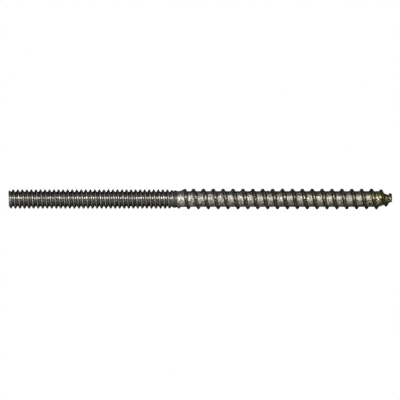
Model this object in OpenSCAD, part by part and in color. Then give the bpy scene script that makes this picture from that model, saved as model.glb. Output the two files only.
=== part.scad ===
// Hanger bolt: a headless fastener, rolled from one length of steel wire. A machine
// thread at one end takes a nut or a knob. A coarse wood thread at the other end runs
// to a blunt gimlet point. A short stretch of the bare wire is left between the two.
//
// The bolt lies along X on the plane Z = 0, with its point towards +X. The origin is
// below the middle of its length. All sizes are in millimetres. Both threads are
// right-handed.

/* [Overall] */
// Length from the stud end to the tip of the point
overall_length = 89.6; // [75:0.1:120]
// Diameter of the bare wire between the two threads
wire_d = 3.9; // [3.75:0.01:4.1]

/* [Machine thread] */
// Diameter over the crests of the machine thread
stud_crest_d = 4.6; // [4.4:0.01:4.8]
// Diameter at the bottom of its grooves
stud_root_d = 3.3; // [3.1:0.01:3.5]
// Distance from one crest to the next, 24 to the inch
stud_pitch = 1.0583; // [1:0.0001:1.3]
// Width of the flat at the bottom of a groove
stud_root_flat = 0.16; // [0.12:0.01:0.2]
// Turn of this thread about the axis, where its crest crosses the stud end
stud_thread_turn = 67; // [0:1:359]
// Length from the stud end to where this thread starts to fade
stud_thread_length = 37.4; // [20:0.1:45]
// Length over which it fades into the bare wire
stud_runout = 1.6; // [1:0.1:2.5]
// Length of the bevel round the face of the stud end
stud_bevel = 0.25; // [0.1:0.05:0.4]
// Length from the stud end over which the crest comes up to its full height
stud_lead = 0.65; // [0.5:0.05:1]

/* [Neck] */
// Length of bare wire between the two threads
neck_length = 0.4; // [0:0.1:4]

/* [Wood thread] */
// Diameter over the crests of the wood thread
wood_crest_d = 4.86; // [4.7:0.01:5.2]
// Diameter of the core between its crests
wood_root_d = 3.68; // [3.5:0.01:3.8]
// Distance from one crest to the next, 11 to the inch
wood_pitch = 2.3091; // [2:0.0001:2.6]
// Width of the narrow flat on top of a crest
wood_crest_flat = 0.34; // [0.2:0.01:0.45]
// Turn of this thread about the axis, where it starts to rise
wood_thread_turn = 217; // [0:1:359]
// Length over which it rises out of the bare wire
wood_runin = 1.5; // [1:0.1:3]

/* [Point] */
// Length of the point, from where the core starts to narrow to the tip
point_length = 3.2; // [2.8:0.1:4.5]
// Length of the straight nib that the point ends in
nib_length = 0.9; // [0.6:0.1:1.2]
// Diameter of the nib, without its thread
nib_d = 1.75; // [1.4:0.05:2]
// Length over which the crest of the wood thread narrows towards the tip
crest_taper_length = 3; // [2:0.1:4]
// Diameter over the crest of the thread at the tip
tip_crest_d = 2.3; // [2.1:0.05:2.6]
// Length of the bevel that ends the crest at the tip
tip_bevel = 0.3; // [0.2:0.05:0.4]

/* [Hidden] */

flank_angle = 30;              // between a ridge's flank and a cut across the axis
facets = 24;                   // flat steps in one turn of a thread
facet_angle = 360 / facets;
smooth = 96;                   // steps in one turn of the core
stud_foot_depth = 0.06;        // how far the machine thread's ridge is let into the core
wood_foot_depth = 0.25;        // and the wood thread's
sunk = 0.05;                   // depth of a ridge's crest in the core where it fades out
end_margin = 0.02;             // how far a ridge stays behind the faces of the ends

// Places along the bolt, in order from the stud end to the tip
stud_end = -overall_length / 2;
bevel_end = stud_end + stud_bevel;
stud_full = stud_end + stud_lead;
runout_start = stud_end + stud_thread_length;
neck_start = runout_start + stud_runout;
wood_start = neck_start + neck_length;
wood_full = wood_start + wood_runin;
tip = overall_length / 2;
point_start = tip - point_length;
crest_taper_start = tip - crest_taper_length;
nib_start = tip - nib_length;
tip_bevel_start = tip - tip_bevel;
first_place = stud_end + end_margin;
last_place = tip - end_margin;

wire_r = wire_d / 2;
nib_r = nib_d / 2;
stud_crest_r = stud_crest_d / 2;
stud_root_r = stud_root_d / 2;
face_r = stud_root_r - stud_bevel;
wood_crest_r = wood_crest_d / 2;
wood_root_r = wood_root_d / 2;

// How wide a crest is on a ridge of some height. The grooves of the machine thread close
// up as they get shallower, which widens its crest. The wood thread's crest stays narrow.
stud_crest_width = function (height)
    stud_pitch - stud_root_flat - 2 * height * tan(flank_angle);
wood_crest_width = function (height) wood_crest_flat;

// Places and radii along the core, which carries the ridges of both threads
core_line = [
    [stud_end, face_r],
    [bevel_end, stud_root_r],
    [runout_start, stud_root_r],
    [neck_start, wire_r],
    [wood_start, wire_r],
    [wood_full, wood_root_r],
    [point_start, wood_root_r],
    [nib_start, nib_r],
    [tip, nib_r],
];

// Places and radii along the crest of each thread
stud_crest_line = [
    [stud_end, face_r - sunk],
    [stud_full, stud_crest_r],
    [runout_start, stud_crest_r],
    [neck_start, wire_r - sunk],
];
wood_crest_line = [
    [wood_start, wire_r - sunk],
    [wood_full, wood_crest_r],
    [crest_taper_start, wood_crest_r],
    [tip_bevel_start, tip_crest_d / 2],
    [tip, nib_r - sunk],
];

// A point at a radius and a turn about the axis: turn 0 faces +Y, turn 90 is on top.
function round_axis(x, radius, turn) = [x, radius * cos(turn), radius * sin(turn)];

// The four corners of a cut through a ridge, where its crest is at x. Each flank runs on
// into the core by foot_depth, also where the core narrows. The flats of the crest touch
// its true radius, and the ends of the bolt cut the ridge off.
function ridge_cut(x, turn, crest_line, crest_width, foot_depth) =
    let (
        core_r = lookup(x, core_line),
        height = lookup(x, crest_line) - core_r,
        half_crest = crest_width(height) / 2,
        half_foot = half_crest + height * tan(flank_angle),
        left_r = lookup(x - half_foot - foot_depth, core_line) - foot_depth,
        right_r = lookup(x + half_foot + foot_depth, core_line) - foot_depth,
        left_foot = x - half_foot - (core_r - left_r) * tan(flank_angle),
        right_foot = x + half_foot + (core_r - right_r) * tan(flank_angle),
        crest_r = (core_r + height) / cos(facet_angle / 2)
    )
    [
        round_axis(max(left_foot, first_place), left_r, turn),
        round_axis(max(x - half_crest, first_place), crest_r, turn),
        round_axis(min(x + half_crest, last_place), crest_r, turn),
        round_axis(min(right_foot, last_place), right_r, turn),
    ];

// The ridge of one thread, wound round the axis from the place start to the place end.
// It has the given turn at start. One facet in each turn faces straight down, so that
// the bolt lies still on them.
module ridge(pitch, start, start_turn, end, crest_line, crest_width, foot_depth) {
    function facets_at(x) = (start_turn + 360 * (x - start) / pitch) / facet_angle - 0.5;
    function place_at(turn) = start + pitch * (turn - start_turn) / 360;
    first = ceil(facets_at(start));
    last = floor(facets_at(end));
    corners = [
        for (i = [first:last])
            let (turn = (i + 0.5) * facet_angle)
            each ridge_cut(place_at(turn), turn, crest_line, crest_width, foot_depth)
    ];
    last_cut = 4 * (last - first);
    sides = [
        for (cut = [0:4:last_cut - 4], side = [0:3])
            let (
                a = cut + side,
                b = cut + (side + 1) % 4
            )
            each [[a, b, b + 4], [a, b + 4, a + 4]]
    ];
    ends = [[3, 2, 1, 0], [for (side = [0:3]) last_cut + side]];
    polyhedron(corners, concat(sides, ends));
}

module core() {
    outline = [for (p = core_line) [p[1], p[0]]];
    rotate([0, 90, 0])
        rotate_extrude($fn = smooth)
            polygon([[0, stud_end], each outline, [0, tip]]);
}

module machine_thread() {
    ridge(stud_pitch, stud_end, stud_thread_turn, neck_start,
        stud_crest_line, stud_crest_width, stud_foot_depth);
}

module wood_thread() {
    ridge(wood_pitch, wood_start, wood_thread_turn, tip,
        wood_crest_line, wood_crest_width, wood_foot_depth);
}

module hanger_bolt() {
    color("silver")
        translate([0, 0, wood_crest_r])
            union() {
                core();
                machine_thread();
                wood_thread();
            }
}

hanger_bolt();
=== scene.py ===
"""A hanger bolt: the visual model, its finish and a plain stage.

The bolt lies along X on the plane Z = 0 and points towards +X. Lengths are in metres.
A turn is an angle about the bolt's axis: at 0 it faces +Y and after a quarter it is on top.
"""

import math

import bmesh
import bpy
import numpy as np
from bpy.props import FloatProperty, FloatVectorProperty, IntProperty, PointerProperty
from bpy.types import Operator, Panel, PropertyGroup
from bpy.utils import register_class, unregister_class
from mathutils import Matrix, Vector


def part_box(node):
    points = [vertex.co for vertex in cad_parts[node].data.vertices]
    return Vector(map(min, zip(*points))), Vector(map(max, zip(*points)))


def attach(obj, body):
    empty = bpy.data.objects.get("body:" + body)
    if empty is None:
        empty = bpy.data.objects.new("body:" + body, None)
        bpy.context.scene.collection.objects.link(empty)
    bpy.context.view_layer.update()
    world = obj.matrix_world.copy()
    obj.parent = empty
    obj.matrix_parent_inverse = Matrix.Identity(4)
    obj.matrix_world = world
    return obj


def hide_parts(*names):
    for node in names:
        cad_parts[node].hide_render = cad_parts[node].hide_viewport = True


bl_info = {
    "name": "Hanger Bolt",
    "version": (1, 0, 0),
    "blender": (4, 5, 0),
    "location": "3D View > Sidebar > Hanger Bolt",
    "description": "Builds a hanger bolt with its two rolled threads, its plating and a stage",
    "category": "Add Mesh",
}

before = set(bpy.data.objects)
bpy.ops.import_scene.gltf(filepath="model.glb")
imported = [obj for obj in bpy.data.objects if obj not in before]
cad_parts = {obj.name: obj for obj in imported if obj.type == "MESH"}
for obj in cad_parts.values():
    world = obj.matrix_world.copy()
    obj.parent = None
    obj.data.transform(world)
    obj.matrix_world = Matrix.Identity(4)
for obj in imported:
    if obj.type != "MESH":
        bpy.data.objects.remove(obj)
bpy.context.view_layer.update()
LOW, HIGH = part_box("hanger_bolt")

MM = 0.001
FULL_TURN = 2 * math.pi
TOP = FULL_TURN / 4
UPPER_FRONT = 0.4 * FULL_TURN  # on the side that faces -Y, above its middle
LOWER_FRONT = 0.58 * FULL_TURN  # on the same side, below its middle

STUD_END = LOW.x
TIP = HIGH.x
AXIS_HEIGHT = (HIGH.z + LOW.z) / 2
WOOD_CREST_RADIUS = (HIGH.z - LOW.z) / 2

FLANK_RUN = math.tan(math.radians(30))  # along the axis, for each unit of height
CREST_ROUNDING = 0.1 * MM
STUD_ROOT_ROUNDING = 0.14 * MM
STUD_UNEVENNESS = 0.02 * MM  # by which its crests are low in places
WOOD_ROOT_ROUNDING = 0.13 * MM
WOOD_UNEVENNESS = 0.045 * MM
FIRST_LEAN = 0.4 * MM  # of the wood thread's first crest towards the point, on top
LONG_SLOPE = 2.6  # share by which that turn's slope is longer on the side of the stud
STEEP_SLOPE = 0.75  # and shorter on the other side
TOP_WIDENING = 0.14 * MM  # of the wood thread's flat on top
POINT_NARROWING = 0.25  # share of the flat that is gone on the point
NIB_WIDENING = 0.2 * MM  # of the flat on the nib
BURR_PLACE = 15.69 * MM  # of a small burr on top of the wood thread's core
FACE_DROP = 0.06 * MM  # from the radius of the stud's end to the rim of its face
FACE_SLANT = 0.1 * MM  # by which the face is out of square, across the bolt
BEVEL_RISE = 1.2  # of the bevel round it, for each unit along the axis
BEVEL_ROUNDING = 0.05 * MM
DOME_RADIUS = 8 * MM  # of the tip's flat dome
DOME_ROUNDING = 0.12 * MM

# The dark film on the wood thread's ridge: its edges, from the crest.
FILM_STUD_SIDE = (-0.62 * MM, -0.4 * MM)
FILM_POINT_SIDE = (0.38 * MM, 0.6 * MM)
EARLY_TURNS = (5 * MM, 12 * MM)  # where the first edge moves out
# The ridge's film is thinned in a line half-way up the bolt: a painted highlight.
PAINTED_HIGHLIGHT_SHARE = 0.65
PAINTED_HIGHLIGHT_TILT = 0.17  # turn by which the painted highlight line is higher in front

# Rows and rings of points, and how far from a crest the rows lie on both sides of it.
FACE_RINGS = 6
BEVEL_RINGS = 9
BEVEL_LENGTH = 0.3 * MM
STUD_ROWS = np.array([0.06, 0.13, 0.27, 0.4, 0.45]) * MM
FIRST_TURN_ROWS = 32
WOOD_ROWS = np.array([0.08, 0.14, 0.2, 0.3, 0.4, 0.48, 0.56, 0.75, 0.95]) * MM
DOME_RINGS = 12
DOME_LENGTH = 0.24 * MM
LAST_RING = 1e-9  # closer than this to the tip, a ring shrinks to a point
MERGE_GAP = 1.5e-6  # points closer than this are one

TENT_STRIPS = 180  # round the tent
CAMERA_DISTANCE = 0.5  # from the bolt's axis
WHITE = (1.0, 1.0, 1.0, 1.0)

# Waves of a crest's unevenness: their number in a turn, and radians in a millimetre.
RIPPLE_WAVES = ((1, 0.31), (2, 0.83), (3, 1.27), (5, 2.11))

# Brightness of the tent by its angle about the bolt, in degrees: 0 in front, 90 above.
TENT_TONES = (
    (-180, 0.3),
    (-165, 0.24),
    (-150, 0.12),
    (-95, 0.2),
    (-60, 0.49),
    (-30, 0.69),
    (-10, 0.74),
    (10, 0.68),
    (30, 0.5),
    (45, 0.3),
    (60, 0.22),
    (80, 0.16),
    (95, 0.1),
    (122, 0.05),
    (148, 0.04),
    (165, 0.2),
    (180, 0.3),
)


# ------------------------------------------------------------------ sizes and colours


def length(name, description, default, low=0.0, high=0.1):
    """A property that holds a length, in metres."""
    return FloatProperty(
        name=name,
        description=description,
        default=default,
        min=low,
        max=high,
        precision=5,
        unit="LENGTH",
        subtype="DISTANCE",
    )


def colour(name, description, default):
    """A property that holds a colour, in linear light."""
    return FloatVectorProperty(
        name=name,
        description=description,
        default=default,
        min=0.0,
        max=1.0,
        size=3,
        subtype="COLOR",
    )


def share(name, description, default):
    """A property that holds a number from 0 to 1."""
    return FloatProperty(
        name=name, description=description, default=default, min=0.0, max=1.0, subtype="FACTOR"
    )


def angle(name, description, degrees):
    """A property that holds an angle, with its default given in degrees."""
    return FloatProperty(
        name=name,
        description=description,
        default=math.radians(degrees),
        min=-TOP,
        max=TOP,
        unit="ROTATION",
        subtype="ANGLE",
    )


def radiance(name, description, default):
    """A property that holds a brightness, where 1 is white."""
    return FloatProperty(name=name, description=description, default=default, min=0.0, max=50.0)


class BoltSizes(PropertyGroup):
    """Sizes of the two threads, the neck and the point."""

    wire_radius: length("Wire radius", "Bare wire at the neck", 1.93 * MM)
    stud_crest_radius: length("Stud crest radius", "Over the machine thread", 2.3 * MM)
    stud_root_radius: length("Stud root radius", "In its grooves", 1.65 * MM)
    stud_end_radius: length("Stud end radius", "Of the blunt end", 1.86 * MM)
    stud_pitch: length("Stud pitch", "From crest to crest", 1.0583 * MM)
    stud_crest_flat: length("Stud crest flat", "Width on top of a crest", 0.18 * MM)
    stud_crest_place: length("Stud crest place", "Where a crest is on top", -25.684 * MM, -0.1)
    stud_length: length("Stud length", "Of the full thread, with the end", 37.4 * MM)
    stud_runout: length("Stud run-out", "Over which the thread fades", 2.0 * MM)
    wood_root_radius: length("Wood root radius", "Core of the wood thread", 1.84 * MM)
    wood_pitch: length("Wood pitch", "From crest to crest", 2.3091 * MM)
    wood_crest_flat: length("Wood crest flat", "Width on top of a crest", 0.31 * MM)
    wood_crest_place: length("Wood crest place", "Where a crest is on top", 19.187 * MM, -0.1)
    wood_start: length("Wood start", "Place where the ridge sets in", -5.4 * MM, -0.1)
    wood_runin: length("Wood run-in", "Over which the ridge rises", 1.5 * MM)
    point: length("Point", "Over which the core narrows, with the nib", 3.2 * MM)
    nib: length("Nib", "Blunt end of the point", 0.9 * MM)
    nib_radius: length("Nib radius", "Where the nib sets in", 0.93 * MM)
    tip_radius: length("Tip radius", "Of the nib at its end", 0.66 * MM)
    crest_taper: length("Crest taper", "Over which the ridge narrows", 3.0 * MM)
    tip_crest_radius: length("Tip crest radius", "Over the ridge at the tip", 1.2 * MM)
    columns: IntProperty(
        name="Columns", description="Steps in one turn of the surface", default=96, min=24, max=240
    )


class BoltFinish(PropertyGroup):
    """Colours and gloss of the plating."""

    plating: colour("Plating", "Bright plating on the smooth core", (0.8, 0.752, 0.682))
    worn: colour("Worn plating", "Dull blotches in it", (0.34, 0.325, 0.295))
    stud_plating: colour("Stud plating", "Plating on the machine thread", (0.63, 0.622, 0.585))
    # Colour of the dark film away from the point; on the stud the same colour is laid as painted
    # shade.
    grime_and_shade: colour("Grime", "Dark film in grooves and on the ridge", (0.045, 0.041, 0.034))
    olive: colour("Olive", "The same film towards the point", (0.058, 0.05, 0.021))
    rust: colour("Rust", "Brown stain in places", (0.075, 0.045, 0.032))
    # Dark spots near the point, also laid as painted shade under the tip's end.
    pit_and_shade: colour("Pit", "Dark spots near the point", (0.018, 0.016, 0.002))
    passivate: colour("Passivate", "Yellow film over the plating at the point", (0.78, 0.72, 0.38))
    # A near-black tint of the shine at grazing angles: painted shade along the outline.
    rim_shade: colour("Rim", "Tint of the shine where the surface turns away", (0.08, 0.08, 0.078))
    gloss: share("Gloss roughness", "Roughness of bright plating", 0.16)
    dull: share("Dull roughness", "Roughness of the dark film", 0.36)


class BoltStage(PropertyGroup):
    """The floor, the tent, the lamps and the camera."""

    floor_size: length("Floor", "Side of the square floor", 3.0, 0.1, 10.0)
    floor_colour: colour("Floor colour", "Plain and pale", (0.82, 0.82, 0.81))
    tent_radius: length("Tent radius", "Distance of the tent's wall", 1.0, 0.1, 10.0)
    tent_length: length("Tent length", "Along the bolt", 6.0, 0.1, 20.0)
    lamp_distance: length("Lamp distance", "From the bolt", 0.3, 0.05, 2.0)
    lamp_length: length("Lamp length", "Along the bolt", 0.3, 0.05, 2.0)
    lamp_width: length("Lamp width", "Across it", 0.09, 0.005, 1.0)
    front_elevation: angle("Front elevation", "Of the front lamp above the floor", 17.5)
    front_radiance: radiance("Front brightness", "Of the front lamp", 5.6)
    back_elevation: angle("Back elevation", "Of the back lamp above the floor", 4)
    back_radiance: radiance("Back brightness", "Of the back lamp", 5.0)
    picture_width: length("Picture width", "What the camera takes in", 93.39 * MM, 0.01, 1.0)
    aim_x: length("Aim", "Middle of the picture along the bolt", -0.07 * MM, -0.1)
    aim_height: length("Aim height", "Middle of the picture above the floor", 2.197 * MM)


# -------------------------------------------------------------- the bolt's surface


def bell(value, centre, width):
    """1 at the centre, falling off on both sides as a Gauss curve of that width."""
    return np.exp(-(((value - centre) / width) ** 2))


def around(turn, middle, spread):
    """A bell in the turn: 1 at the middle, falling off with the shorter way round to it."""
    away = (turn - middle + FULL_TURN / 2) % FULL_TURN - FULL_TURN / 2
    return bell(away, 0.0, spread)


def step(value, start, end):
    """0 before start, 1 after end, and a smooth 3t^2 - 2t^3 between them."""
    t = np.clip((value - start) / (end - start), 0.0, 1.0)
    return t * t * (3 - 2 * t)


def along(x, line):
    """Height at x of the broken line through the given (place, height) points."""
    places, heights = zip(*line)
    return np.interp(x, places, heights)


def soft_min(a, b, blend):
    """The lower of a and b, rounded where they cross: it loses the square of
    (blend - |a - b|), over four blends, where that bracket is above 0."""
    near = np.maximum(blend - np.abs(a - b), 0.0)
    return np.minimum(a, b) - near * near / (4 * blend)


def soft_max(a, b, blend):
    """The higher of a and b, rounded in the same way."""
    return -soft_min(-a, -b, blend)


def from_crest(x, turn, crest_on_top, pitch):
    """Distance along the axis from the nearest crest of a right-handed thread, below 0
    on the side of the stud. A crest moves on by one pitch in a full turn."""
    crest = crest_on_top + pitch * (turn - TOP) / FULL_TURN
    return (x - crest + pitch / 2) % pitch - pitch / 2


def ripple(x, turn, seed):
    """Slow unevenness between 0 and 1: half of 1 plus the mean of sine waves that fit the
    turn a whole number of times and drift along the axis."""
    waves = 0.0
    for number, per_mm in RIPPLE_WAVES:
        waves = waves + np.sin(number * turn + per_mm * x / MM + seed * number)
    return 0.5 + waves / (2 * len(RIPPLE_WAVES))


class BoltShape:
    """Radius of the bolt at any place and turn, and what its finish follows."""

    def __init__(self, sizes):
        """Takes the sizes and works out the places where one part meets the next."""
        self.sizes = sizes
        self.runout = STUD_END + sizes.stud_length
        self.neck = self.runout + sizes.stud_runout
        self.middle = (self.neck + sizes.wood_start) / 2
        self.wood_full = sizes.wood_start + sizes.wood_runin
        self.point = TIP - sizes.point
        self.nib = TIP - sizes.nib
        self.face_radius = sizes.stud_end_radius - FACE_DROP

    def stud_thread(self, x, turn):
        """Radius and height share of the machine thread: a V of 60 degrees, kept between
        its root line and its crest line with rounded corners."""
        sizes = self.sizes
        root = along(
            x,
            [
                (STUD_END + 0.6 * MM, self.face_radius),
                (STUD_END + 0.9 * MM, sizes.stud_root_radius),
                (self.runout + 0.3 * MM, sizes.stud_root_radius),
                (self.runout + 0.8 * MM, sizes.wire_radius - 0.11 * MM),
                (self.runout + 1.3 * MM, sizes.wire_radius - 0.05 * MM),
                (self.neck, sizes.wire_radius),
            ],
        )
        crest = along(
            x,
            [
                (STUD_END, sizes.stud_end_radius),
                (STUD_END + 0.65 * MM, sizes.stud_crest_radius),
                (self.runout, sizes.stud_crest_radius),
                (self.runout + 0.3 * MM, sizes.stud_crest_radius - 0.08 * MM),
                (self.runout + 0.9 * MM, sizes.stud_crest_radius - 0.22 * MM),
                (self.neck - 0.4 * MM, sizes.stud_crest_radius - 0.24 * MM),
                (self.neck, sizes.wire_radius),
            ],
        )
        crest = crest - STUD_UNEVENNESS * ripple(x, turn, seed=1.0)
        off = np.abs(from_crest(x, turn, sizes.stud_crest_place, sizes.stud_pitch))
        flank = sizes.stud_crest_radius - (off - sizes.stud_crest_flat / 2) / FLANK_RUN
        radius = soft_max(soft_min(flank, crest, CREST_ROUNDING), root, STUD_ROOT_ROUNDING)
        depth = sizes.stud_crest_radius - sizes.stud_root_radius
        height = (radius - sizes.stud_root_radius) / depth
        return radius, height

    def wood_thread(self, x, turn):
        """Radius of the wood thread, made as the machine thread's, and the distance from
        its crest. The ridge is a little wider on top of the bolt and on the nib. On its
        first turn it leans there: a long slope on the side of the stud and a steep one on
        the other."""
        sizes = self.sizes
        root = along(
            x,
            [
                (sizes.wood_start, sizes.wire_radius - 0.03 * MM),
                (self.wood_full, sizes.wood_root_radius + 0.03 * MM),
                (self.wood_full + MM, sizes.wood_root_radius),
                (self.point, sizes.wood_root_radius),
                (self.point + MM, sizes.wood_root_radius - 0.34 * MM),
                (self.nib, sizes.nib_radius),
                (TIP, sizes.tip_radius),
            ],
        )
        crest = along(
            x,
            [
                (sizes.wood_start - 0.3 * MM, sizes.wire_radius - 0.05 * MM),
                (sizes.wood_start + 0.4 * MM, WOOD_CREST_RADIUS - 0.16 * MM),
                (self.wood_full, WOOD_CREST_RADIUS - 0.07 * MM),
                (self.wood_full + 1.2 * MM, WOOD_CREST_RADIUS),
                (TIP - sizes.crest_taper, WOOD_CREST_RADIUS),
                (TIP - sizes.crest_taper / 2, WOOD_CREST_RADIUS - 0.57 * MM),
                (TIP, sizes.tip_crest_radius),
            ],
        )
        uneven = WOOD_UNEVENNESS * ripple(x, turn, seed=2.6)
        crest = crest - uneven * step(x, self.wood_full, self.wood_full + 2 * MM)

        first = 1 - step(x, self.wood_full + 0.5 * MM, self.wood_full + 1.3 * MM)
        lean = FIRST_LEAN * around(turn, TOP, 0.9) * first
        off = from_crest(x - lean, turn, sizes.wood_crest_place, sizes.wood_pitch)
        upper = first * np.clip(np.sin(turn), 0.0, 1.0) ** 4
        run = FLANK_RUN * np.where(off < 0, 1 + LONG_SLOPE * upper, 1 - STEEP_SLOPE * upper)

        narrowing = POINT_NARROWING * step(x, self.point - MM, self.nib)
        flat = sizes.wood_crest_flat * (1 - narrowing)
        flat = flat + TOP_WIDENING * around(turn, TOP, 0.8)
        flat = flat + NIB_WIDENING * step(x, self.nib - 0.4 * MM, self.nib + 0.2 * MM)
        flank = crest - (np.abs(off) - flat / 2) / run
        radius = soft_max(soft_min(flank, crest, CREST_ROUNDING), root, WOOD_ROOT_ROUNDING)
        return radius, off

    def ridge_film(self, x, turn, off):
        """Dark film on the wood thread's ridge: 1 from an edge on the stud's side of the crest to
        one on the point's side. The first is further in on the early turns. The second is further
        out on the upper front and further in on the lower one. Before the point, the film is partly
        taken off in a line about half-way up the bolt: a painted highlight."""
        begun = step(x, self.sizes.wood_start + 0.3 * MM, self.sizes.wood_start + 0.9 * MM)
        early = 0.15 * MM * (1 - step(x, *EARLY_TURNS))
        # The film's edge on the point's side moves out on the upper front and in on the lower
        # front.
        front_edge_shift = 0.2 * MM * (around(turn, UPPER_FRONT, 0.35) - around(turn, LOWER_FRONT, 0.45))
        stud_side = step(off - early, *FILM_STUD_SIDE)
        point_side = 1 - step(off - front_edge_shift, *FILM_POINT_SIDE)
        # Painted highlight: a line about half-way up, a little higher in front, where the film is
        # thinned.
        painted_highlight = PAINTED_HIGHLIGHT_SHARE * (1 - step(x, self.point, self.point + 0.7 * MM))
        painted_highlight = painted_highlight * bell(np.sin(turn + PAINTED_HIGHLIGHT_TILT), 0.0, 0.2)
        return stud_side * point_side * (1 - painted_highlight) * begun

    def radius(self, x, turn):
        """Radius at a place and turn, and what the finish follows there: the height share of the
        machine thread, the dark film on the ridge with its painted highlight line, and the share of
        the wood part.
        A sag and a bump where the machine thread runs out, and a burr on the wood
        thread's core, are heights times bells. The stud's bevel and the tip's dome cut
        the radius off. The dome is the square root of twice its own radius times the
        distance from the tip."""
        stud, height = self.stud_thread(x, turn)
        wood, off = self.wood_thread(x, turn)
        on_wood = x > self.middle
        radius = np.where(on_wood, wood, stud)
        sag = -0.05 * MM * np.sin(turn) * bell(x, self.neck, 0.5 * MM)
        burr = 0.17 * MM * bell(x, BURR_PLACE, 0.13 * MM) * around(turn, TOP, 0.14)
        bump = 0.13 * MM * bell(x, self.neck - 0.42 * MM, 0.16 * MM) * around(turn, TOP, 0.7)
        radius = radius + sag + burr + bump
        bevel = self.face_radius + BEVEL_RISE * (x - STUD_END)
        radius = soft_min(radius, bevel, BEVEL_ROUNDING)
        dome = np.sqrt(2 * DOME_RADIUS * np.clip(TIP - x, 0.0, None))
        radius = np.where(x < TIP - LAST_RING, soft_min(radius, dome, DOME_ROUNDING), 0.0)
        layers = {
            "thread_height": np.where(on_wood, 0.0, np.clip(height, 0.0, 1.0)),
            "film": np.where(on_wood, self.ridge_film(x, turn, off), 0.0),
            "wood_share": np.where(on_wood, 1.0, 0.0),
        }
        return radius, layers


def ring_rows(places, columns):
    """Places of plain rings, as rows by columns."""
    return np.repeat(np.asarray(places)[:, None], columns + 1, axis=1)


def thread_rows(start, end, pitch, crest_on_top, offsets, columns):
    """Places of rows that run along a thread at fixed offsets from its crest, as rows by
    columns: the row's own place + pitch * share of the turn, held between the rings at
    start and end."""
    shares = np.linspace(0.0, 1.0, columns + 1)
    phase = (np.asarray(offsets) + crest_on_top - pitch / 4) % pitch
    pitches = np.arange(math.floor(start / pitch) - 2, math.ceil(end / pitch) + 1) * pitch
    rows = np.sort((pitches[:, None] + phase[None, :]).ravel())
    rows = rows[(rows > start - pitch) & (rows < end)]
    rows = np.concatenate([[start - pitch], rows, [end]])
    return np.clip(rows[:, None] + pitch * shares[None, :], start, end)


def thread_offsets(side, pitch):
    """Offsets of rows from a crest: 0, the given ones on both sides and half a pitch."""
    return np.concatenate([-side, [0.0], side, [pitch / 2]])


def bolt_grid(shape):
    """Points of the bolt as rows by columns, from the middle of the stud's face to the
    tip, and what the finish follows: (x, radius * cos turn, axis height + radius * sin
    turn). Rows are closer on the wood thread's first turn, whose ridge leans, and the
    stud's face is cut a little out of square."""
    sizes = shape.sizes
    columns = sizes.columns
    turns = np.linspace(0.0, FULL_TURN, columns + 1)[None, :]
    stud = (sizes.stud_pitch, sizes.stud_crest_place)
    wood = (sizes.wood_pitch, sizes.wood_crest_place)
    stud_rows = thread_offsets(STUD_ROWS, sizes.stud_pitch)
    first_rows = np.linspace(-0.5, 0.5, FIRST_TURN_ROWS + 1)[1:] * sizes.wood_pitch
    wood_rows = thread_offsets(WOOD_ROWS, sizes.wood_pitch)
    second = shape.wood_full + 2 * MM
    dome_rings = TIP - DOME_LENGTH * np.linspace(1.0, 0.0, DOME_RINGS) ** 2
    x = np.concatenate(
        [
            ring_rows(np.linspace(STUD_END, STUD_END + BEVEL_LENGTH, BEVEL_RINGS), columns),
            thread_rows(STUD_END + BEVEL_LENGTH, shape.middle, *stud, stud_rows, columns),
            thread_rows(shape.middle, second, *wood, first_rows, columns),
            thread_rows(second, TIP - DOME_LENGTH, *wood, wood_rows, columns),
            ring_rows(dome_rings, columns),
        ]
    )
    radius, layers = shape.radius(x, turns)

    shares = np.linspace(0.0, 1.0, FACE_RINGS + 1)[:-1, None]
    x = np.concatenate([ring_rows([STUD_END] * FACE_RINGS, columns), x])
    radius = np.concatenate([radius[:1] * shares, radius])
    for name, values in layers.items():
        layers[name] = np.concatenate([np.repeat(values[:1], FACE_RINGS, axis=0), values])

    across = radius * np.sin(turns)
    slant = FACE_SLANT * (0.5 - across / (2 * sizes.stud_end_radius))
    x = x + np.clip(slant, 0.0, None) * (1 - step(x, STUD_END, STUD_END + 0.5 * MM))
    points = np.stack([x, radius * np.cos(turns), AXIS_HEIGHT + across], axis=-1)
    return points, layers


def grid_faces(rows, columns):
    """Corner numbers of a grid's quads, where points are numbered row by row."""
    corner = (np.arange(rows - 1)[:, None] * columns + np.arange(columns - 1)[None, :]).ravel()
    return np.stack([corner, corner + 1, corner + columns + 1, corner + columns], axis=-1)


def grid_object(name, points, layers, material, closed=True):
    """An object of quads over a grid of points, with a number for each point in each
    layer. Where it is closed, points that meet become one and faces turn outwards."""
    rows, columns = points.shape[:2]
    mesh = bpy.data.meshes.new(name)
    mesh.from_pydata(points.reshape(-1, 3), [], grid_faces(rows, columns))
    for layer, values in layers.items():
        mesh.attributes.new(layer, "FLOAT", "POINT").data.foreach_set("value", values.ravel())
    if closed:
        shell = bmesh.new()
        shell.from_mesh(mesh)
        bmesh.ops.remove_doubles(shell, verts=shell.verts, dist=MERGE_GAP)
        bmesh.ops.recalc_face_normals(shell, faces=shell.faces)
        shell.to_mesh(mesh)
        shell.free()
    mesh.shade_smooth()
    mesh.materials.append(material)
    piece = bpy.data.objects.new(name, mesh)
    bpy.context.scene.collection.objects.link(piece)
    return piece


# ---------------------------------------------------------------------- materials


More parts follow.
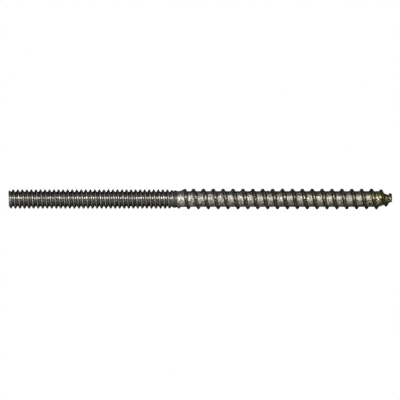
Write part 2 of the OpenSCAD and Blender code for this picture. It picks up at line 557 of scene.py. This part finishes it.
class Graph:
    """A material's node graph, built one node at a time."""

    def __init__(self, data):
        """Takes a material or a world, and empties its graph."""
        data.use_nodes = True
        self.nodes = data.node_tree.nodes
        self.links = data.node_tree.links
        self.nodes.clear()

    def add(self, kind, inputs=None, output=0, **settings):
        """Makes a node, sets its settings and inputs, and gives back one of its outputs.
        An input is a number, a colour or another node's output."""
        node = self.nodes.new(kind)
        for name, value in settings.items():
            setattr(node, name, value)
        for key, value in (inputs or {}).items():
            if isinstance(value, bpy.types.NodeSocket):
                self.links.new(value, node.inputs[key])
            else:
                node.inputs[key].default_value = value
        return node.outputs[output] if len(node.outputs) else node

    def attribute(self, name):
        """A number that the mesh holds for each point."""
        return self.add("ShaderNodeAttribute", output="Fac", attribute_name=name)

    def noise(self, place, scale, detail=2.0, roughness=0.5, distortion=0.0):
        """Noise with so many blotches for each unit of the given place. Its mean is 0.5,
        and a narrow ramp near that makes patches with clear edges."""
        return self.add(
            "ShaderNodeTexNoise",
            {
                "Vector": place,
                "Scale": scale,
                "Detail": detail,
                "Roughness": roughness,
                "Distortion": distortion,
            },
        )

    def ramp(self, value, start, end, low=0.0, high=1.0):
        """low where value is at start, high at end, smooth between and level outside."""
        return self.add(
            "ShaderNodeMapRange",
            {
                "Value": value,
                "From Min": start,
                "From Max": end,
                "To Min": low,
                "To Max": high,
            },
            interpolation_type="SMOOTHSTEP",
        )

    def math(self, operation, a, b=0.0, c=0.0):
        """The operation on up to three numbers."""
        return self.add("ShaderNodeMath", {0: a, 1: b, 2: c}, operation=operation)

    def times(self, first, *others):
        """The product of the numbers."""
        for other in others:
            first = self.math("MULTIPLY", first, other)
        return first

    def most(self, first, *others):
        """The highest of the numbers."""
        for other in others:
            first = self.math("MAXIMUM", first, other)
        return first

    def raised(self, base, value, factor):
        """base + value * factor."""
        return self.math("MULTIPLY_ADD", value, factor, base)

    def mix(self, factor, a, b):
        """Colour a where factor is 0 and colour b where it is 1."""
        return self.add(
            "ShaderNodeMix",
            {"Factor": factor, 6: a, 7: b},
            output=2,
            data_type="RGBA",
        )


def opaque(rgb):
    """A colour with full alpha."""
    return (*rgb, 1.0)


# Patterns of the finish: blotches in a millimetre.
BLOTCH_SCALE = 1.3
SPECK_SCALE = 2.9
GRIT_SCALE = 4.6
STAIN_SCALE = 0.22
FLECK_SCALE = 3.6
POCK_SCALE = 1.6
DRAWN_SCALES = (8.0, 1.5, 1.5)  # of drawn streaks, along X, Y and Z

# Where the finish changes towards the point: start and end, in millimetres from the tip.
OLIVE_RUN = (38.8, 20.8)
SMOOTHER_RUN = (32.8, 22.8)
PITTED_RUN = (10.8, 4.8)
YELLOW_RUN = (8.3, 1.3)
SPECKED_RUN = (7.8, 1.8)
SOIL_AND_SHADE_RUN = (6.8, 2.3)
GLOSSIER_RUN = (4.8, 1.8)
BLACK_RUN = (2.2, 1.6)

# Where the neck's film starts and ends, in millimetres from the end of the stud.
NECK_START = (38.0, 38.5)
NECK_END = (39.55, 39.35)

# Where the finish changes downwards, mostly painted shade on the lower side: start and end, in
# millimetres above the axis.
UNDERSIDE = (0.47, -0.53)
LOWER_HALF = (0.37, 0.07)
GROOVE_SHADE_FALL = (0.47, -0.43)
SHADE_STRIPE_TOP = (0.23, 0.07)
SHADE_STRIPE_FOOT = (-0.23, -0.08)
SHADE_FALL_NEAR_POINT = (0.02, -0.53)
BLACK_FALL = (-0.23, -0.43)

SHADE_STRIPE_COVER = 0.65  # share of the painted shade stripe along the stud that is dark
NECK_COVER = 0.9
RAGGEDNESS = 3.2  # of the edge of the ridge's film
NOISE_MIDDLE = 0.5  # mean of a noise
RELIEF = 0.17 * MM  # height of the bump


class Plating(Graph):
    """The graph of the plating, with what its parts share. Places are in millimetres, and
    a film is the share of the surface that is dark."""

    def __init__(self, material, finish):
        """Sets up the places, the layers of the mesh and the shared patterns."""
        super().__init__(material)
        self.finish = finish
        here = self.add("ShaderNodeTexCoord", output="Object")
        self.place = self.add("ShaderNodeVectorMath", {0: here, "Scale": 1 / MM}, operation="SCALE")
        x = self.add("ShaderNodeSeparateXYZ", {0: self.place}, output="X")
        z = self.add("ShaderNodeSeparateXYZ", {0: self.place}, output="Z")
        self.from_end = self.math("SUBTRACT", x, STUD_END / MM)
        self.from_tip = self.math("SUBTRACT", TIP / MM, x)
        self.above = self.math("SUBTRACT", z, AXIS_HEIGHT / MM)
        self.height = self.attribute("thread_height")
        self.ridge = self.attribute("film")
        self.wood = self.attribute("wood_share")
        self.stud = self.math("SUBTRACT", 1.0, self.wood)
        # The stud's underside: painted shade thickens the grit and speckle there, and grit is added
        # to the bump.
        self.under = self.times(self.ramp(self.above, *UNDERSIDE), self.stud)
        self.blotches = self.noise(self.place, BLOTCH_SCALE, 4.0, roughness=0.7, distortion=0.6)
        self.specks = self.noise(self.place, SPECK_SCALE, 3.0, roughness=0.65, distortion=0.4)
        self.grit = self.noise(self.place, GRIT_SCALE, roughness=0.6)

    def bright(self):
        """Colour of the bright plating: worn in blotches on the core, greyer on the stud,
        and yellower towards the point."""
        finish = self.finish
        worn = self.raised(self.blotches, self.ramp(self.from_tip, *SMOOTHER_RUN), 0.05)
        worn = self.ramp(worn, 0.42, 0.58, high=0.9)
        core = self.mix(worn, opaque(finish.plating), opaque(finish.worn))
        both = self.mix(self.wood, opaque(finish.stud_plating), core)
        patch = self.ramp(self.blotches, 0.35, 0.6, low=1.0, high=0.5)
        yellow = self.times(self.ramp(self.from_tip, *YELLOW_RUN), patch)
        yellow = self.most(yellow, self.ramp(self.from_tip, *SMOOTHER_RUN, high=0.05))
        return self.mix(yellow, both, opaque(finish.passivate))

    def dark(self, pits_and_shade):
        """Colour of the dark film and of the painted shade: olive towards the point, brown where it
        is stained, uneven from fleck to fleck, and nearly black in the pits and under the tip's
        end."""
        finish = self.finish
        olive = self.ramp(self.from_tip, *OLIVE_RUN)
        film = self.mix(olive, opaque(finish.grime_and_shade), opaque(finish.olive))
        stains = self.ramp(self.noise(self.place, STAIN_SCALE), 0.5, 0.62, high=0.45)
        film = self.mix(stains, film, opaque(finish.rust))
        flecks = self.ramp(self.noise(self.place, FLECK_SCALE), 0.46, 0.54, low=2.0, high=0.2)
        film = self.add("ShaderNodeVectorMath", {0: film, "Scale": flecks}, operation="SCALE")
        return self.mix(pits_and_shade, film, opaque(finish.pit_and_shade))

    def pits_and_shade(self):
        """Dark spots in the lower half towards the point, and painted shade under its end."""
        pocks = self.ramp(self.noise(self.place, POCK_SCALE), 0.51, 0.56, high=0.95)
        pocks = self.times(pocks, self.ramp(self.from_tip, *PITTED_RUN))
        pocks = self.times(pocks, self.ramp(self.above, *LOWER_HALF))
        # Painted shade under the tip's end.
        underside_shade = self.ramp(self.above, *BLACK_FALL, high=0.7)
        return self.most(pocks, self.times(self.ramp(self.from_tip, *BLACK_RUN), underside_shade))

    def ridge_film(self):
        """Film on the wood thread's ridge, with a ragged edge and its painted highlight line."""
        ragged = self.math("SUBTRACT", self.specks, NOISE_MIDDLE)
        ragged = self.raised(self.ridge, ragged, RAGGEDNESS)
        return self.times(self.ramp(ragged, 0.2, 0.7, high=0.95), self.wood)

    def neck_film(self):
        """Film round the bare neck."""
        start = self.ramp(self.from_end, *NECK_START)
        return self.times(start, self.ramp(self.from_end, *NECK_END))

    def stud_grit_and_shade(self):
        """Dark share on the machine thread: painted shade in its grooves, heavier lower down; grit
        speckle kept to the lower half and thicker underneath as painted shade; and a stripe of
        painted shade half-way up, just under the highlight."""
        # Painted shade in the grooves, patchy and heavier lower down.
        groove_shade = self.ramp(self.height, 0.8, 0.1, low=0.7)
        groove_shade = self.times(groove_shade, self.ramp(self.above, *GROOVE_SHADE_FALL, low=0.35, high=0.45))
        groove_shade = self.times(groove_shade, self.ramp(self.grit, 0.48, 0.52))
        # Grit speckle, kept to the lower half and thicker underneath: partly grit, partly painted
        # shade.
        grit_speckle_and_shade = self.ramp(self.raised(self.grit, self.under, 0.06), 0.54, 0.56, high=0.7)
        grit_speckle_and_shade = self.times(grit_speckle_and_shade, self.ramp(self.above, *LOWER_HALF))
        # Painted shade in a stripe half-way up, just under the highlight.
        shade_stripe = self.ramp(self.above, *SHADE_STRIPE_TOP)
        shade_stripe = self.times(shade_stripe, self.ramp(self.above, *SHADE_STRIPE_FOOT, high=SHADE_STRIPE_COVER))
        return self.times(self.most(groove_shade, grit_speckle_and_shade, shade_stripe), self.stud)

    def dirt_and_shade(self):
        """Film all over the bolt: grit, thickened under the stud as painted shade; specks, thicker
        towards the point; and soil near the point, with painted shade added underneath."""
        # Grit, thicker under the stud: painted shade.
        grit = self.ramp(self.raised(self.grit, self.under, 0.12), 0.53, 0.64, high=0.75)
        specks = self.raised(self.specks, self.ramp(self.from_tip, *SPECKED_RUN), 0.03)
        specks = self.ramp(specks, 0.5, 0.6, high=0.8)
        soil_and_shade = self.ramp(self.specks, 0.5, 0.56)
        # Painted shade: darker underneath near the point.
        soil_and_shade = self.most(soil_and_shade, self.ramp(self.above, *SHADE_FALL_NEAR_POINT, high=0.5))
        soil_and_shade = self.times(soil_and_shade, self.ramp(self.from_tip, *SOIL_AND_SHADE_RUN))
        return self.most(grit, specks, soil_and_shade)

    def bump(self):
        """Relief of specks and drawn streaks, rougher on the wood part, and of grit on the
        underside of the stud."""
        places = {0: self.place, 1: DRAWN_SCALES}
        drawn = self.add("ShaderNodeVectorMath", places, operation="MULTIPLY")
        streaks = self.noise(drawn, 1.0, detail=3.0, roughness=0.6)
        rugged = self.ramp(self.from_tip, *SMOOTHER_RUN, low=0.8, high=0.55)
        rugged = self.raised(0.1, self.wood, rugged)
        relief = self.times(self.raised(self.specks, streaks, 0.2), rugged)
        relief = self.raised(relief, self.times(self.under, 0.2), self.grit)
        return self.add("ShaderNodeBump", {"Height": relief, "Strength": 1.0, "Distance": RELIEF})


def plating_material(finish):
    """Zinc plating, mottled on the smooth core and yellower towards the point, where dark spots
    lie. A dark film covers the wood thread's ridge, thinned in a line of painted highlight. The
    same dark colour is laid as painted shade in the machine thread's grooves, in a stripe under its
    highlight, with grit over the underside of the stud, and underneath near the point. The dark
    film is duller than the plating, and a little less metallic on the ridge and the neck."""
    material = bpy.data.materials.new("plated_steel")
    plating = Plating(material, finish)
    ridge = plating.ridge_film()
    neck = plating.neck_film()
    pits_and_shade = plating.pits_and_shade()
    # The dark share: the ridge's film with its painted highlight line, the neck's film, the stud's
    # painted shade, grit and soil with painted shade underneath, and the pits with painted shade
    # under the tip's end.
    film = plating.most(ridge, plating.times(neck, NECK_COVER), plating.stud_grit_and_shade())
    film = plating.most(film, plating.dirt_and_shade(), pits_and_shade)
    colour_here = plating.mix(film, plating.bright(), plating.dark(pits_and_shade))
    duller = plating.ramp(plating.from_tip, *GLOSSIER_RUN, low=0.2, high=0.08)
    roughness = plating.raised(finish.gloss, plating.wood, duller)
    roughness = plating.most(roughness, plating.times(film, finish.dull))
    shader = plating.add(
        "ShaderNodeBsdfPrincipled",
        {
            "Base Color": colour_here,
            "Metallic": plating.raised(1.0, plating.most(ridge, neck), -0.15),
            "Roughness": roughness,
            # The rim tint darkens the shine where the surface turns away: painted shade along the
            # outline.
            "Specular Tint": opaque(finish.rim_shade),
            "Normal": plating.bump(),
        },
    )
    plating.add("ShaderNodeOutputMaterial", {"Surface": shader})
    return material


def matt_material(name, rgb):
    """A plain matt surface."""
    material = bpy.data.materials.new(name)
    graph = Graph(material)
    shader = graph.add("ShaderNodeBsdfPrincipled", {"Base Color": opaque(rgb), "Roughness": 0.9})
    graph.add("ShaderNodeOutputMaterial", {"Surface": shader})
    return material


def tent_material():
    """A surface that shines as brightly as its tone layer says."""
    material = bpy.data.materials.new("tent_cloth")
    graph = Graph(material)
    tone = graph.attribute("tone")
    glow = graph.add("ShaderNodeEmission", {"Color": WHITE, "Strength": tone})
    graph.add("ShaderNodeOutputMaterial", {"Surface": glow})
    return material


# -------------------------------------------------------------------------- stage


def plain_floor(stage):
    """A flat square under the bolt, which reflections don't show: (x, y, 0)."""
    side = np.linspace(-stage.floor_size / 2, stage.floor_size / 2, 2)
    points = np.stack(
        [
            np.repeat(side[None, :], 2, axis=0),
            np.repeat(side[:, None], 2, axis=1),
            np.zeros((2, 2)),
        ],
        axis=-1,
    )
    material = matt_material("pale_floor", stage.floor_colour)
    floor = grid_object("floor", points, {}, material, closed=False)
    floor.visible_glossy = False


def soft_tent(stage):
    """A tube of cloth round the bolt that only reflections show: (x, -r cos a, r sin a)
    for angle a, where 0 is in front of the bolt and a quarter turn above it. It is pale in
    front of the bolt and dimmer below and above it, with a faint light straight behind."""
    angles = np.linspace(-FULL_TURN / 2, FULL_TURN / 2, TENT_STRIPS + 1)[:, None]
    x = np.linspace(-stage.tent_length / 2, stage.tent_length / 2, 2)[None, :]
    tone = along(np.degrees(angles), TENT_TONES)
    points = np.stack(
        [
            x + 0 * angles,
            -stage.tent_radius * np.cos(angles) + 0 * x,
            AXIS_HEIGHT + stage.tent_radius * np.sin(angles) + 0 * x,
        ],
        axis=-1,
    )
    tent = grid_object("tent", points, {"tone": tone + 0 * x}, tent_material(), closed=False)
    tent.visible_camera = False
    tent.visible_diffuse = False
    tent.visible_shadow = False
    tent.visible_transmission = False


def strip_lamp(name, stage, side, elevation, brightness):
    """A long soft lamp beside the bolt, in front of it where side is -1. Its power is
    brightness * pi * its area."""
    lamp = bpy.data.lights.new(name, "AREA")
    lamp.shape = "RECTANGLE"
    lamp.size = stage.lamp_length
    lamp.size_y = stage.lamp_width
    lamp.energy = brightness * math.pi * stage.lamp_length * stage.lamp_width
    holder = bpy.data.objects.new(name, lamp)
    level = stage.lamp_distance * math.cos(elevation)
    height = stage.lamp_distance * math.sin(elevation)
    holder.location = (0.0, side * level, AXIS_HEIGHT + height)
    holder.rotation_euler = (-side * (TOP - elevation), 0.0, 0.0)
    holder.visible_camera = False
    bpy.context.scene.collection.objects.link(holder)
    return holder


def white_world():
    """A plain white surround, of the same strength for the camera, for reflections and
    for light."""
    world = bpy.data.worlds.new("white_surround")
    bpy.context.scene.world = world
    graph = Graph(world)
    light = graph.add("ShaderNodeBackground", {"Color": WHITE, "Strength": 1.0})
    graph.add("ShaderNodeOutputWorld", {"Surface": light})


def level_camera(stage):
    """A camera without perspective that looks along +Y, square to the bolt."""
    data = bpy.data.cameras.new("camera")
    data.type = "ORTHO"
    data.ortho_scale = stage.picture_width
    camera = bpy.data.objects.new("camera", data)
    camera.location = (stage.aim_x, -CAMERA_DISTANCE, stage.aim_height)
    camera.rotation_euler = (TOP, 0.0, 0.0)
    bpy.context.scene.collection.objects.link(camera)
    bpy.context.scene.camera = camera


# ---------------------------------------------------------------------- operators


class MESH_OT_hanger_bolt(Operator):
    """Builds the bolt over its solid"""

    bl_idname = "mesh.hanger_bolt_add"
    bl_label = "Hanger Bolt"
    bl_options = {"REGISTER", "UNDO"}

    def execute(self, context):
        """Adds the bolt and says what it stands for."""
        points, layers = bolt_grid(BoltShape(context.scene.bolt_sizes))
        material = plating_material(context.scene.bolt_finish)
        bolt = grid_object("rolled_bolt", points, layers, material)
        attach(bolt, "root")
        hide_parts("hanger_bolt")
        return {"FINISHED"}


class SCENE_OT_bolt_stage(Operator):
    """Sets the floor, the tent, the lamps, the surround and the camera"""

    bl_idname = "scene.bolt_stage_add"
    bl_label = "Bolt Stage"
    bl_options = {"REGISTER", "UNDO"}

    def execute(self, context):
        """Adds the stage, piece by piece."""
        stage = context.scene.bolt_stage
        plain_floor(stage)
        soft_tent(stage)
        strip_lamp("front_lamp", stage, -1, stage.front_elevation, stage.front_radiance)
        strip_lamp("back_lamp", stage, 1, stage.back_elevation, stage.back_radiance)
        white_world()
        level_camera(stage)
        context.scene.view_settings.view_transform = "Standard"
        return {"FINISHED"}


class VIEW3D_PT_hanger_bolt(Panel):
    """Lists the sizes, the finish and the stage, with their operators"""

    bl_label = "Hanger Bolt"
    bl_space_type = "VIEW_3D"
    bl_region_type = "UI"
    bl_category = "Hanger Bolt"

    def draw(self, context):
        """Draws a box for each operator, with the values that it reads."""
        for operator, groups in (
            (MESH_OT_hanger_bolt, (context.scene.bolt_sizes, context.scene.bolt_finish)),
            (SCENE_OT_bolt_stage, (context.scene.bolt_stage,)),
        ):
            box = self.layout.box()
            box.operator(operator.bl_idname)
            for group in groups:
                for name in group.__annotations__:
                    box.prop(group, name)


CLASSES = (
    BoltSizes,
    BoltFinish,
    BoltStage,
    MESH_OT_hanger_bolt,
    SCENE_OT_bolt_stage,
    VIEW3D_PT_hanger_bolt,
)


def register():
    """Registers the classes and gives every scene its three groups of values."""
    for item in CLASSES:
        register_class(item)
    bpy.types.Scene.bolt_sizes = PointerProperty(type=BoltSizes)
    bpy.types.Scene.bolt_finish = PointerProperty(type=BoltFinish)
    bpy.types.Scene.bolt_stage = PointerProperty(type=BoltStage)


def unregister():
    """Undoes what register did."""
    del bpy.types.Scene.bolt_stage
    del bpy.types.Scene.bolt_finish
    del bpy.types.Scene.bolt_sizes
    for item in reversed(CLASSES):
        unregister_class(item)


def main():
    """Makes the bolt and its stage."""
    register()
    bpy.ops.mesh.hanger_bolt_add()
    bpy.ops.scene.bolt_stage_add()


if __name__ == "__main__":
    main()
